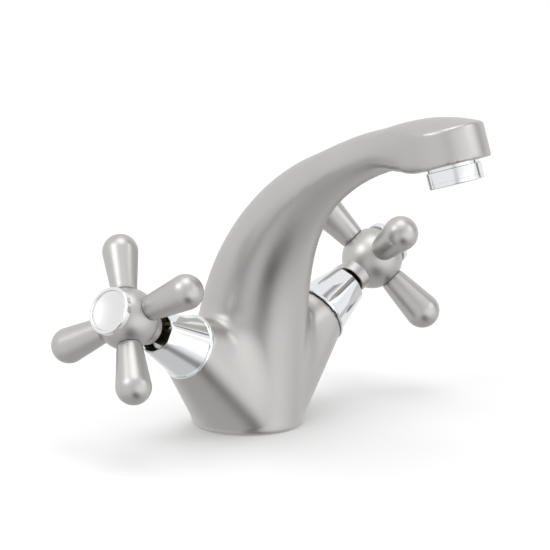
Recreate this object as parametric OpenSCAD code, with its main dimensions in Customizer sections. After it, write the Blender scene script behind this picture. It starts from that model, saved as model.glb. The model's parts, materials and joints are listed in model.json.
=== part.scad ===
// Deck-mounted two-handle basin mixer. The origin is the centre of the base's underside, +Z is up,
// the spout reaches towards -Y, and the handles stand out to -X (left) and +X (right).
// Every length is in millimetres and every angle in degrees.

/* [Base] */
// Diameter of the round base
base_d = 50; // [42:1:60]
// Rounding of the base's lower edge
base_edge_r = 1.5; // [0.8:0.1:2.5]
// Depth of the recess under the base
recess_depth = 8; // [5:0.5:10]
// Ring of metal left around the recess, with the seal groove in it
base_rim = 6; // [5:0.5:8]
// Thickness of the rubber ring under the base
seal_t = 2.4; // [1.5:0.1:3]
// Width of the rubber ring under the base
seal_w = 2.6; // [1.6:0.1:3]
// Distance between the two M10 x 1 inlet holes
inlet_spacing = 18; // [16:0.5:22]
// Tapping diameter of the inlet holes
inlet_d = 9; // [8:0.1:9.5]
// Length of thread in the inlet holes
inlet_len = 12; // [8:0.5:13]
// Tapping diameter of the M8 stud hole
stud_d = 6.8; // [5.5:0.1:7]
// Depth of the stud hole above the recess
stud_depth = 14; // [8:0.5:18]
// Distance of the stud hole behind the base's centre
stud_back = 13; // [10.5:0.5:14]

/* [Spout] */
// Distance from the base's centre to the centre of the outlet
outlet_reach = 124; // [100:1:150]
// Height of the outlet's centre above the deck
outlet_height = 127.5; // [115:1:155]
// Angle by which the outlet points away from the body
outlet_tilt = 19.6; // [10:0.2:25]
// Height of the trunk curve's first control point
trunk_rise = 88; // [75:1:95]
// Length of the last leg of the spout's centreline
spout_run = 86.5; // [75:0.5:95]
// Slope of the last leg of the spout's centreline
spout_slope = 16.8; // [12:0.2:22]
// Half-width that the trunk curve aims for above the base
trunk_side = 26.3; // [24:0.1:28]
// Half-width that the spout curve aims for at its neck
neck_side = 9.5; // [9:0.1:12]
// Half-width of the spout where it joins the tip
tip_side = 15.5; // [14.5:0.1:16]
// Half-depth that the trunk curve aims for above the base
trunk_depth = 28; // [26:0.1:31]
// Half-depth that the spout curve aims for at its neck
neck_depth = 4.8; // [3.5:0.1:7]
// Half-depth of the spout where it joins the tip
tip_depth = 9.6; // [8.8:0.1:10]
// Thickness of the casting around the waterway
cast_wall = 4.4; // [3:0.1:4.6]

/* [Tip] */
// Diameter of the round tip
tip_d = 33.6; // [32:0.2:38]
// Height of the tip's underside above the outlet
tip_lift = 8.3; // [7.8:0.1:10]
// Height of the crown's highest point above the outlet
crown_top = 31; // [28:0.5:34]
// Distance of the crown's highest point behind the outlet
crown_back = 25; // [20:1:30]
// Radius of the crown along the spout
crown_long_r = 118; // [90:1:150]
// Radius of the crown across the spout
crown_side_r = 34; // [28:1:45]

/* [Valve seats] */
// Angle of the handle axes above the deck
valve_angle = 28; // [22:1:34]
// Height at which the two handle axes meet
valve_cross_z = 20.6; // [18:0.2:24]
// Distance of the handle axes in front of the base's centre
valve_forward = 3; // [0:0.5:5]
// Distance from where the axes meet to the face of a boss
boss_reach = 45.6; // [44:0.2:56]
// Width of a boss around the valve's thread
boss_w = 3.8; // [3.2:0.1:6]
// Height at which the two shoulders flow into the trunk
shoulder_rise = 36; // [30:0.5:40]
// Diameter of the trunk that the shoulders aim for
shoulder_d = 39; // [36:0.5:42]
// Depth of the valve pocket below the boss face
pocket_depth = 24; // [22:0.5:26]
// Diameter of the channel from the inlet to the valve
seat_bore_d = 8; // [6:0.5:9]
// Diameter of the channel from the valve to the spout
mix_bore_d = 6; // [5:0.5:6.5]

/* [Valve] */
// Outside diameter of the valve's screw thread
thread_d = 20.4; // [19:0.1:22]
// Length of the valve's screw thread
thread_len = 10; // [8:0.5:12]
// Width of the valve's flange around the thread
flange_w = 1.4; // [1:0.1:1.6]
// Thickness of the valve's flange
flange_t = 2; // [1.2:0.1:3]
// Width across the flats of the valve's hexagon
hex_af = 17; // [15:0.5:19]
// Height of the valve's hexagon
hex_h = 5; // [4:0.5:6]
// Diameter of the valve's neck
neck_d = 13.2; // [12.6:0.1:15]
// Length of the valve's neck above the hexagon
neck_len = 9; // [6:0.5:11]
// Diameter of the ceramic discs
disc_d = 13.8; // [13:0.1:15]
// Thickness of each ceramic disc
disc_t = 2.6; // [2:0.1:3]
// Thickness of the rubber seat seal
seat_seal_t = 3; // [2:0.1:3.4]
// Wall of the valve around the ceramic discs
nose_wall = 1.7; // [1.2:0.1:2]
// Height of the drive plate's fork
fork_h = 2.4; // [2:0.1:3]
// Height of the drive plate's stop lug
stop_h = 2.1; // [1.5:0.1:2.6]
// Angle that each stop lug covers
stop_angle = 88; // [60:1:88]
// Diameter of the spindle's barrel
barrel_d = 10; // [9.2:0.1:11]
// Diameter of the spindle's splined end
spline_d = 8; // [7:0.1:8.4]
// Depth of the spline's teeth
tooth_h = 0.4; // [0.3:0.05:0.6]
// Cord diameter of the O-rings
oring_cord = 1.4; // [1:0.1:1.6]

/* [Escutcheon] */
// Width of the escutcheon's base ring around the valve's thread
cone_w = 4.4; // [4.2:0.1:7]
// Diameter of the escutcheon's mouth
cone_mouth_d = 18.8; // [18:0.1:22]
// Length of the escutcheon
cone_len = 22; // [18:0.5:24]
// Wall of the escutcheon
cone_wall = 1.2; // [0.8:0.1:1.5]
// Height of the bead around the escutcheon's base
bead_h = 1.3; // [0.8:0.1:2]
// Distance between the escutcheon's bead and its cone
bead_step = 1; // [0.5:0.1:1.5]
// Depth of the flats at the escutcheon's mouth
flat_cut = 0.5; // [0.3:0.05:0.7]
// Length of the flats from the escutcheon's mouth
flat_len = 12; // [8:0.5:15]

/* [Handle] */
// Distance from the boss face to the centre of the hub
hub_out = 41.3; // [38:0.5:50]
// Diameter of the hub
hub_d = 27.2; // [27:0.2:34]
// Share of the hub's radius at which the cap ring sits
cap_share = 0.728; // [0.68:0.002:0.76]
// Diameter of the skirt behind the hub
skirt_d = 14.8; // [14.4:0.2:16]
// Length of the hub and its skirt behind the hub's centre
skirt_back = 15.8; // [14.5:0.2:17]
// Diameter of the bush pressed into the hub
bush_d = 12; // [11:0.2:12.6]
// Distance from a handle's axis to the ball at a lever's end
lever_reach = 32.6; // [28:0.2:40]
// Diameter of the ball at a lever's end
ball_d = 15.7; // [13:0.1:17]
// Diameter of a lever where it meets the hub
lever_root_d = 11.2; // [9:0.1:12]
// Diameter of a lever's threaded stub
stub_d = 5; // [4:0.1:6]
// Length of a lever's threaded stub inside the hub
stub_len = 4.6; // [3:0.1:5]
// Angle of the left handle's first lever about its axis
left_turn = 32; // [0:1:90]
// Angle of the right handle's first lever about its axis
right_turn = 53; // [0:1:90]
// Diameter of the cap ring
ring_d = 21.3; // [20.6:0.1:24]
// Height of the cap ring
ring_h = 2.9; // [2.2:0.1:3.5]
// Width of the cap ring's face
ring_face = 1.7; // [1.2:0.1:2.2]
// Diameter of the index disc's stem
stem_d = 13; // [11:0.1:13.4]
// Diameter of the handle screw's thread
screw_d = 4; // [3:0.5:4]
// Diameter of the handle screw's head
screw_head_d = 8; // [6:0.1:8.6]
// Height of the handle screw's head
screw_head_h = 2.4; // [2:0.1:2.8]

/* [Aerator] */
// Diameter of the aerator's housing
aerator_d = 24; // [22:0.2:26]
// Height of the aerator's full-width rim
aerator_rim_h = 7; // [5:0.1:7.2]
// Height of the whole aerator housing
aerator_h = 15; // [13:0.5:16]
// Wall of the aerator's housing
aerator_wall = 1.6; // [1.2:0.1:2]
// Lip that holds the insert at the outlet
aerator_lip = 1; // [0.6:0.1:1.5]
// Thickness of the flat washer above the aerator
washer_t = 2; // [1.5:0.1:2.5]

/* [Fits] */
// Radial clearance of a running fit
run_gap = 0.05; // [0.02:0.01:0.09]
// Radial clearance of pieces that are screwed or pushed together
push_gap = 0.03; // [0.02:0.01:0.06]
// Gap between pieces that lie face to face and turn on each other
face_gap = 0.05; // [0.02:0.01:0.1]

/* [Hidden] */
$fn = 72;
hull_fn = 32;
eps = 0.01;
loft_sides = 26;
loft_rings = 18;
bore_sides = 16;
bore_rings = 12;
bore_start = 0.28;
lever_count = 4;
flat_count = 6;
tooth_count = 20;
slope_up = [0, sin(outlet_tilt), cos(outlet_tilt)];
slope_out = [0, -cos(outlet_tilt), sin(outlet_tilt)];
outlet_at = [0, -outlet_reach, outlet_height];
// The spout's centreline ends a third of the tip's width short of the tip's axis.
elbow_up = tip_lift + 12.3;
elbow_back = tip_d * 0.3;
spine_end = outlet_at + elbow_up * slope_up - elbow_back * slope_out;
spine_bend = spine_end + spout_run * [0, cos(spout_slope), -sin(spout_slope)];
spine = [[0, 0, base_edge_r], [0, 0, trunk_rise], spine_bend, spine_end];
side_law = [base_d / 2, trunk_side, neck_side, tip_side];
depth_law = [base_d / 2, trunk_depth, neck_depth, tip_depth];
washer_r = aerator_d / 2 - push_gap - 0.3;
socket_r = washer_r + push_gap;
socket_top = aerator_h + washer_t;
waterway_r = tip_depth - cast_wall;
insert_r = aerator_d / 2 - aerator_wall - push_gap - 0.2;
pocket_r = disc_d / 2 + 0.1 + nose_wall + 0.4;
disc_bore_r = disc_d / 2 + 0.1;
nose_end = -pocket_depth + 0.4;
fixed_z = -pocket_depth + seat_seal_t;
moving_z = fixed_z + disc_t + face_gap;
fork_z = moving_z + disc_t + face_gap;
stop_z = fork_z + fork_h;
plate_top = stop_z + stop_h;
neck_end = flange_t + hex_h + neck_len;
clip_z = neck_end + 2 * face_gap;
clip_t = 1;
stop_spare = (180 - 2 * stop_angle) / 2;
fork_r = disc_d / 2 - 1.5;
shaft_r = spline_d / 2;
spindle_end = hub_out + 0.9;
bush_front = 1;
screw_seat = bush_front + 3;
boss_d = thread_d + 2 * boss_w;
cone_base_d = thread_d + 2 * cone_w;
cone_root_r = cone_base_d / 2 - bead_step;
mouth_r = cone_mouth_d / 2;
ball_r = ball_d / 2;
hub_r = hub_d / 2;
cap_seat = hub_r * cap_share;
lever_foot = sqrt(pow(hub_r, 2) - pow(lever_root_d / 2, 2)) - 0.6;
index_r = ring_d / 2 - ring_face;

satin = [0.74, 0.73, 0.71];
chrome = [0.86, 0.87, 0.88];
brass = [0.80, 0.66, 0.36];
steel = [0.66, 0.67, 0.69];
rubber = [0.12, 0.12, 0.12];
ceramic = [0.93, 0.92, 0.88];
plastic = [0.90, 0.90, 0.90];

function bezier(p, t) =
    pow(1 - t, 3) * p[0] + 3 * pow(1 - t, 2) * t * p[1] + 3 * (1 - t) * t * t * p[2] + pow(t, 3) * p[3];
function bezier_slope(p, t) =
    pow(1 - t, 2) * (p[1] - p[0]) + 2 * (1 - t) * t * (p[2] - p[1]) + t * t * (p[3] - p[2]);

// One oval ring across the spout's centreline at t, drawn in by a wall.
function ring_at(t, wall, sides) =
    let (slope = bezier_slope(spine, t), d = slope / norm(slope))
    let (w = bezier(side_law, t) - wall, h = bezier(depth_law, t) - wall)
    [for (i = [0:sides - 1])
        bezier(spine, t) + [w * cos(360 * i / sides), -d.z * h * sin(360 * i / sides), d.y * h * sin(360 * i / sides)]];

// A closed solid through rings from t0 to t1 along the spout's centreline.
module spout_loft(t0, t1, wall, rings, sides) {
    points = [for (j = [0:rings]) each ring_at(t0 + (t1 - t0) * j / rings, wall, sides)];
    skin = [for (j = [0:rings - 1]) for (i = [0:sides - 1])
        [j * sides + i, j * sides + (i + 1) % sides, (j + 1) * sides + (i + 1) % sides, (j + 1) * sides + i]];
    floor_face = [[for (i = [sides - 1:-1:0]) i]];
    top_face = [[for (i = [0:sides - 1]) rings * sides + i]];
    polyhedron(points, concat(skin, floor_face, top_face), convexity = 4);
}

// A round rod from point p to point q.
module rod_between(p, q, r) {
    d = q - p;
    translate(p)
        rotate([0, acos(d.z / norm(d)), atan2(d.y, d.x)])
            cylinder(h = norm(d), r = r);
}

// Puts its children on a handle's axis: z = 0 is the boss face and +z points outwards.
module on_valve(side) {
    translate([0, -valve_forward, valve_cross_z])
        rotate([0, side * (90 - valve_angle), 0])
            translate([0, 0, boss_reach])
                children();
}

// The same, with z = 0 at the hub's centre.
module on_hub(side) {
    on_valve(side) translate([0, 0, hub_out]) children();
}

// Puts its children on the outlet's axis: z = 0 is the outlet's face and +z points into the tip.
module on_outlet() {
    translate(outlet_at) rotate([-outlet_tilt, 0, 0]) children();
}

module tube(outer, inner, z0, z1) {
    translate([0, 0, z0])
        rotate_extrude()
            translate([inner, 0])
                square([outer - inner, z1 - z0]);
}

module sector(outer, inner, z0, z1, angle) {
    translate([0, 0, z0])
        rotate_extrude(angle = angle)
            translate([inner, 0])
                square([outer - inner, z1 - z0]);
}

module oring(mid_r, z) {
    translate([0, 0, z])
        rotate_extrude()
            translate([mid_r, 0])
                circle(r = oring_cord / 2, $fn = 32);
}

// Toothed outline of the spindle's end, grown by a gap.
module spline_outline(gap) {
    step = 360 / tooth_count;
    polygon([for (i = [0:tooth_count - 1]) each [
        for (k = [[-0.30, 0], [-0.14, tooth_h], [0.14, tooth_h], [0.30, 0]])
            (shaft_r + gap - tooth_h + k[1]) * [cos((i + k[0]) * step), sin((i + k[0]) * step)]
    ]]);
}

// ---- body ----

module boss_wing(side) {
    hull() {
        translate([0, 0, base_edge_r])
            cylinder(h = 1, r = base_d / 2 - 0.6, $fn = hull_fn);
        translate([0, 0, shoulder_rise - 1])
            cylinder(h = 1, r = shoulder_d / 2, $fn = hull_fn);
        on_valve(side)
            translate([0, 0, -4])
                cylinder(h = 4, r = boss_d / 2, $fn = hull_fn);
    }
}

module base_foot() {
    r = base_d / 2 - base_edge_r;
    rotate_extrude()
        union() {
            square([r, base_edge_r + 2]);
            translate([0, base_edge_r])
                square([base_d / 2, 2]);
            intersection() {
                translate([r, base_edge_r])
                    circle(r = base_edge_r, $fn = 32);
                square([base_d / 2, base_edge_r]);
            }
        }
}

// A round tip under a crown that curves both along and across the spout.
module tip_block() {
    on_outlet()
        intersection() {
            translate([0, 0, tip_lift])
                cylinder(h = crown_top - tip_lift, r = tip_d / 2);
            translate([0, crown_back, crown_top - crown_long_r])
                rotate([0, 90, 0])
                    rotate_extrude()
                        translate([crown_long_r - crown_side_r, 0])
                            circle(r = crown_side_r);
        }
}

// Waterway, pocket, seat and channels of one valve.
module valve_bores(side) {
    on_valve(side) {
        translate([0, 0, -thread_len - 0.4])
            cylinder(h = thread_len + 1, r = thread_d / 2 + push_gap);
        translate([0, 0, -pocket_depth])
            cylinder(h = pocket_depth - thread_len, r = pocket_r);
        translate([0, 0, 7 - boss_reach])
            cylinder(h = boss_reach - pocket_depth - 7 + eps, r = seat_bore_d / 2);
    }
    inlet_x = side * inlet_spacing / 2;
    inlet_top = valve_cross_z + inlet_spacing / 2 * tan(valve_angle);
    translate([inlet_x, -valve_forward, recess_depth - eps])
        cylinder(h = inlet_len, r = inlet_d / 2);
    translate([inlet_x, -valve_forward, recess_depth])
        cylinder(h = inlet_top - recess_depth, r = seat_bore_d / 2);
    window_s = boss_reach - pocket_depth + 8;
    window = [side * window_s * cos(valve_angle), -valve_forward, valve_cross_z + window_s * sin(valve_angle)];
    rod_between(window, bezier(spine, bore_start + 0.02), mix_bore_d / 2);
}

module body_casting() {
    color(satin)
        difference() {
            union() {
                spout_loft(0, 1, 0, loft_rings, loft_sides);
                boss_wing(-1);
                boss_wing(1);
                base_foot();
                tip_block();
            }
            spout_loft(bore_start, 1, cast_wall, bore_rings, bore_sides);
            valve_bores(-1);
            valve_bores(1);
            translate([0, 0, -eps])
                cylinder(h = recess_depth + eps, r = base_d / 2 - base_rim);
            tube(seal_outer_r(), seal_inner_r(), -eps, seal_t);
            translate([0, stud_back, recess_depth - eps])
                cylinder(h = stud_depth, r = stud_d / 2);
            on_outlet() {
                cylinder(h = socket_top, r = socket_r);
                cylinder(h = elbow_up + waterway_r - 1, r = waterway_r + 1);
            }
            rod_between(spine_end + [0, 3, 0], outlet_at + elbow_up * slope_up, waterway_r - 0.8);
        }
}

function seal_mid_r() = (base_d - base_rim) / 2;
function seal_outer_r() = seal_mid_r() + seal_w / 2;
function seal_inner_r() = seal_mid_r() - seal_w / 2;

module base_seal_ring() {
    color(rubber)
        tube(seal_outer_r(), seal_inner_r(), 0, seal_t);
}

// ---- aerator ----

module aerator_housing() {
    thread_z = tip_lift + 0.7;
    color(chrome)
        on_outlet()
            difference() {
                union() {
                    tube(aerator_d / 2, insert_r + push_gap, 0.5, aerator_rim_h);
                    tube(aerator_d / 2 - 0.5, insert_r + push_gap - aerator_lip, 0, aerator_rim_h);
                    tube(aerator_d / 2 - 0.8, insert_r + push_gap, aerator_rim_h - 1, thread_z + 1);
                    tube(socket_r - push_gap, insert_r + push_gap, thread_z, aerator_h);
                }
                translate([0, 0, 2])
                    cylinder(h = aerator_h, r = insert_r + push_gap);
            }
}

// Straight holes of the flow straightener, ring by ring.
module stream_holes(r, h) {
    for (ring = [0:3])
        for (i = [0:max(0, 6 * ring - 1)])
            rotate([0, 0, 60 * i / max(1, ring)])
                translate([ring * insert_r / 3.9, 0, 0])
                    cylinder(h = h, r = r, $fn = 24);
}

module aerator_insert() {
    color(plastic)
        on_outlet()
            difference() {
                translate([0, 0, 2])
                    cylinder(h = aerator_h - 3.4, r = insert_r);
                translate([0, 0, 1])
                    stream_holes(1.05, aerator_h);
                translate([0, 0, 6])
                    cylinder(h = aerator_h, r = insert_r - 1.2);
            }
}

module aerator_screen() {
    color(steel)
        on_outlet()
            difference() {
                translate([0, 0, aerator_h - 1.4])
                    cylinder(h = 0.8, r = insert_r);
                translate([0, 0, aerator_h - 2])
                    stream_holes(0.6, 3);
            }
}

module aerator_washer() {
    color(rubber)
        on_outlet()
            tube(washer_r, washer_r - 3.6, aerator_h, socket_top);
}

// ---- valve ----

module escutcheon(side) {
    rise = cone_len - bead_h;
    fall = cone_root_r - mouth_r;
    cover_z = flange_t + hex_h;
    color(chrome)
        on_valve(side)
            difference() {
                union() {
                    rotate_extrude()
                        polygon([
                            [cone_root_r - cone_wall, 0], [cone_base_d / 2 - 0.3, 0], [cone_base_d / 2, 0.35],
                            [cone_base_d / 2, bead_h - 0.45], [cone_base_d / 2 - 0.4, bead_h], [cone_root_r, bead_h],
                            [mouth_r + 0.2, cone_len - 0.6], [mouth_r - 0.3, cone_len],
                            [mouth_r - cone_wall + 0.3, cone_len], [mouth_r - cone_wall, cone_len - 0.6]
                        ]);
                    web_r = cone_root_r - fall * (cover_z + 0.7 - bead_h) / rise - cone_wall / 2;
                    tube(web_r, neck_d / 2 + push_gap, cover_z, cover_z + 1.4);
                }
                flat_angle = atan2(fall, rise) + asin(flat_cut / flat_len);
                for (i = [0:flat_count - 1])
                    rotate([0, 0, 360 / flat_count * (i + 0.5)])
                        translate([mouth_r - flat_cut, 0, cone_len])
                            rotate([0, -flat_angle, 0])
                                translate([0, -cone_base_d / 2, -flat_len - 1])
                                    cube([5, cone_base_d, flat_len + 4]);
            }
}

module valve_housing(side) {
    color(brass)
        on_valve(side)
            difference() {
                union() {
                    tube(disc_bore_r + nose_wall, barrel_d / 2 + run_gap, nose_end, -thread_len);
                    tube(thread_d / 2, barrel_d / 2 + run_gap, -thread_len, 0);
                    tube(thread_d / 2 + flange_w, barrel_d / 2 + run_gap, 0, flange_t);
                    translate([0, 0, flange_t])
                        cylinder(h = hex_h, r = hex_af / sqrt(3), $fn = 6);
                    tube(neck_d / 2, barrel_d / 2 + run_gap, flange_t, neck_end);
                }
                translate([0, 0, plate_top])
                    cylinder(h = neck_end - plate_top + 1, r = barrel_d / 2 + run_gap);
                translate([0, 0, nose_end - 1])
                    cylinder(h = stop_z + face_gap - nose_end + 1, r = disc_bore_r);
                difference() {
                    translate([0, 0, stop_z])
                        cylinder(h = plate_top + face_gap - stop_z, r = disc_bore_r);
                    sector(disc_bore_r + 1, fork_r + 0.3, stop_z - 1, plate_top + 1, stop_angle);
                }
                translate([-20, -4, moving_z + 0.3])
                    cube([40, 8, disc_t + fork_h - 1]);
                tube(thread_d / 2 + 1, thread_d / 2 - oring_cord, -0.4 - oring_cord, -0.4);
            }
}

module housing_oring(side) {
    color(rubber)
        on_valve(side)
            oring(thread_d / 2 - oring_cord / 2, -0.4 - oring_cord / 2);
}

module fixed_disc(side) {
    color(ceramic)
        on_valve(side)
            difference() {
                translate([0, 0, fixed_z])
                    cylinder(h = disc_t, r = disc_d / 2);
                for (a = [0, 180])
                    rotate([0, 0, a + 45])
                        sector(disc_d / 2 - 1.6, 1.6, fixed_z - 1, fixed_z + disc_t + 1, 90);
            }
}

module seat_seal(side) {
    color(rubber)
        on_valve(side)
            tube(disc_d / 2, seat_bore_d / 2, -pocket_depth, fixed_z);
}

module moving_disc(side) {
    color(ceramic)
        on_valve(side)
            difference() {
                translate([0, 0, moving_z])
                    cylinder(h = disc_t, r = disc_d / 2);
                for (a = [0, 180])
                    rotate([0, 0, a - 45])
                        sector(disc_d, 1.6, moving_z - 1, moving_z + disc_t + 1, 90);
            }
}

module spindle(side) {
    groove = barrel_d / 2 - oring_cord;
    color(brass)
        on_valve(side)
            difference() {
                union() {
                    translate([0, 0, fork_z])
                        cylinder(h = plate_top - fork_z, r = fork_r);
                    rotate([0, 0, stop_angle + stop_spare])
                        sector(disc_d / 2, 1, stop_z + 2 * face_gap, plate_top, stop_angle);
                    translate([0, 0, plate_top - eps])
                        cylinder(h = neck_end - 2 - plate_top, r = barrel_d / 2);
                    cylinder(h = neck_end + 5, r = shaft_r + 0.15);
                    translate([0, 0, neck_end + 4])
                        linear_extrude(spindle_end - neck_end - 4)
                            spline_outline(0);
                }
                for (z = oring_levels())
                    tube(barrel_d, groove, z - oring_cord / 2, z + oring_cord / 2);
                tube(barrel_d, shaft_r - 0.7, clip_z, clip_z + clip_t);
                translate([0, 0, spindle_end - 10])
                    cylinder(h = 11, r = screw_d / 2 + push_gap);
            }
}

function oring_levels() = [plate_top + 4, plate_top + 8];

module spindle_orings(side) {
    color(rubber)
        on_valve(side)
            for (z = oring_levels())
                oring((barrel_d - oring_cord) / 2, z);
}

module spindle_clip(side) {
    color(steel)
        on_valve(side)
            rotate([0, 0, 30])
                sector(neck_d / 2 - 0.7, shaft_r - 0.7, clip_z + eps, clip_z + clip_t - eps, 300);
}

// ---- handle ----

function lever_turn(side) = side < 0 ? left_turn : right_turn;

module hub(side) {
    color(satin)
        on_hub(side)
            difference() {
                union() {
                    intersection() {
                        sphere(r = hub_r);
                        translate([0, 0, cap_seat - hub_d])
                            cylinder(h = hub_d, r = hub_r + 1);
                    }
                    translate([0, 0, -skirt_back])
                        cylinder(h = skirt_back, r1 = skirt_d / 2 - 0.7, r2 = skirt_d / 2);
                }
                translate([0, 0, -skirt_back - 1])
                    cylinder(h = skirt_back + 1 + bush_front, r = bush_d / 2 + push_gap);
                cylinder(h = cap_seat, r = screw_d / 2 + 0.2);
                translate([0, 0, screw_seat])
                    cylinder(h = cap_seat, r = stem_d / 2 + push_gap);
                for (i = [0:lever_count - 1])
                    rotate([0, 0, lever_turn(side) + 360 / lever_count * i])
                        rotate([0, 90, 0])
                            translate([0, 0, hub_r - stub_len - 0.2])
                                cylinder(h = stub_len + 1, r = stub_d / 2 + push_gap);
            }
}

module bush(side) {
    color(brass)
        on_hub(side)
            difference() {
                translate([0, 0, -skirt_back + 1])
                    cylinder(h = skirt_back - 1 + bush_front, r = bush_d / 2);
                translate([0, 0, -skirt_back])
                    linear_extrude(skirt_back + bush_front + 1)
                        spline_outline(push_gap);
            }
}

// A lever is a cone that runs into a ball, with a hollow foot that seats on the hub.
module lever(side, i) {
    run = lever_reach - lever_foot;
    foot_r = lever_root_d / 2;
    taper = asin(ball_r / norm([run, foot_r])) - atan2(foot_r, run);
    join = run - ball_r * sin(taper);
    color(satin)
        on_hub(side)
            rotate([0, 0, lever_turn(side) + 360 / lever_count * (i - 1)])
                rotate([0, 90, 0]) {
                    difference() {
                        union() {
                            translate([0, 0, lever_foot])
                                cylinder(h = join, r1 = foot_r, r2 = ball_r * cos(taper));
                            translate([0, 0, lever_reach])
                                sphere(r = ball_r);
                        }
                        sphere(r = hub_r + push_gap);
                    }
                    translate([0, 0, hub_r - stub_len])
                        cylinder(h = stub_len + 1, r = stub_d / 2);
                }
}

module cap_ring(side) {
    edge = 0.5;
    top = cap_seat + ring_h;
    color(chrome)
        on_hub(side)
            rotate_extrude()
                polygon([
                    [stem_d / 2 + 0.8, cap_seat], [ring_d / 2 - 0.2, cap_seat], [ring_d / 2, cap_seat + 0.2],
                    [ring_d / 2, top - edge], [ring_d / 2 - edge * 0.3, top - edge * 0.3], [ring_d / 2 - edge, top],
                    [index_r + edge, top], [index_r + push_gap, top - edge], [index_r + push_gap, cap_seat + 1],
                    [stem_d / 2 + 0.8, cap_seat + 1]
                ]);
}

module index_disc(side) {
    dish_r = 45;
    top = cap_seat + ring_h - 0.4;
    color(satin)
        on_hub(side) {
            difference() {
                translate([0, 0, cap_seat + 1])
                    cylinder(h = ring_h - 1.4, r = index_r);
                translate([0, 0, top - 0.5 + dish_r])
                    sphere(r = dish_r, $fn = 180);
            }
            tube(stem_d / 2, stem_d / 2 - 1, screw_seat + 3, cap_seat + 1 + eps);
        }
}

module handle_screw(side) {
    color(steel)
        on_hub(side)
            difference() {
                union() {
                    translate([0, 0, -8])
                        cylinder(h = screw_seat + 8 + eps, r = screw_d / 2);
                    translate([0, 0, screw_seat])
                        cylinder(h = screw_head_h, r = screw_head_d / 2);
                }
                translate([0, 0, screw_seat + screw_head_h - 1.6])
                    cylinder(h = 3, r = screw_d / 2 / cos(30), $fn = 6);
            }
}

body_casting();
base_seal_ring();
aerator_housing();
aerator_insert();
aerator_screen();
aerator_washer();
escutcheon(-1);  // left_escutcheon
valve_housing(-1);  // left_valve_housing
housing_oring(-1);  // left_housing_oring
fixed_disc(-1);  // left_fixed_disc
seat_seal(-1);  // left_seat_seal
escutcheon(1);  // right_escutcheon
valve_housing(1);  // right_valve_housing
housing_oring(1);  // right_housing_oring
fixed_disc(1);  // right_fixed_disc
seat_seal(1);  // right_seat_seal
spindle(-1);  // left_spindle
moving_disc(-1);  // left_moving_disc
spindle_orings(-1);  // left_spindle_orings
spindle_clip(-1);  // left_spindle_clip
bush(-1);  // left_bush
hub(-1);  // left_hub
cap_ring(-1);  // left_cap_ring
index_disc(-1);  // left_index_disc
handle_screw(-1);  // left_handle_screw
lever(-1, 1);  // left_lever_1
lever(-1, 2);  // left_lever_2
lever(-1, 3);  // left_lever_3
lever(-1, 4);  // left_lever_4
spindle(1);  // right_spindle
moving_disc(1);  // right_moving_disc
spindle_orings(1);  // right_spindle_orings
spindle_clip(1);  // right_spindle_clip
bush(1);  // right_bush
hub(1);  // right_hub
cap_ring(1);  // right_cap_ring
index_disc(1);  // right_index_disc
handle_screw(1);  // right_handle_screw
lever(1, 1);  // right_lever_1
lever(1, 2);  // right_lever_2
lever(1, 3);  // right_lever_3
lever(1, 4);  // right_lever_4
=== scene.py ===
"""Visual model of a deck-mounted basin mixer with a cross handle on each side."""

import json
import math

import bmesh
import bpy
from bpy.props import FloatProperty, FloatVectorProperty, PointerProperty
from mathutils import Matrix, Vector
from mathutils.bvhtree import BVHTree


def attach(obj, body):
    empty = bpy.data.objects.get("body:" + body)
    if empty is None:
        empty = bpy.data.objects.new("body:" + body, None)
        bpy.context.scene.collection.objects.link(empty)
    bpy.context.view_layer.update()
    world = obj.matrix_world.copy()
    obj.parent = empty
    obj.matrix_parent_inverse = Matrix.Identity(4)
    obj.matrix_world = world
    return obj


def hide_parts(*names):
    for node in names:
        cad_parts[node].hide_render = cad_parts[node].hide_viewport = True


bl_info = {
    "name": "Basin mixer",
    "version": (1, 0, 0),
    "blender": (4, 5, 0),
    "location": "View3D > Sidebar > Mixer",
    "description": "Builds a two-handle basin mixer round its packed frame",
    "category": "Object",
}

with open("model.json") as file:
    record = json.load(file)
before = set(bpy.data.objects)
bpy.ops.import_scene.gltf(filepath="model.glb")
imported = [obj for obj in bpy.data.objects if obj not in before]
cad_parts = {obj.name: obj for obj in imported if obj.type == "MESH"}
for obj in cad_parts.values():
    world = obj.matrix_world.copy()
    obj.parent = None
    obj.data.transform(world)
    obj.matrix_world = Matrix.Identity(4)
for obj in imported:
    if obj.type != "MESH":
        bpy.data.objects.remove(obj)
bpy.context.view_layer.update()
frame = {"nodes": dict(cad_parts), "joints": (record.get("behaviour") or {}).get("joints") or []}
MM = 0.001
SIDES = ("left", "right")
JOINTS = {j["child"]: j for j in frame["joints"]}
SMOOTH_TO = math.radians(28)
LEVERS = 4


# ---- sizes and finishes that a user may change ----

def length(label, text, size):
    """A size, given in millimetres."""
    return FloatProperty(name=label, description=text, default=size * MM, precision=5,
                         subtype="DISTANCE", unit="LENGTH")


def angle(label, text, degrees):
    """An angle, given in degrees."""
    return FloatProperty(name=label, description=text, default=math.radians(degrees),
                         subtype="ANGLE", unit="ROTATION")


def share(label, text, value):
    """A value from 0 to 1."""
    return FloatProperty(name=label, description=text, default=value, min=0, max=1, subtype="FACTOR")


def tint(label, text, rgb):
    """A colour."""
    return FloatVectorProperty(name=label, description=text, default=rgb, min=0, max=1,
                               size=3, subtype="COLOR")


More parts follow.
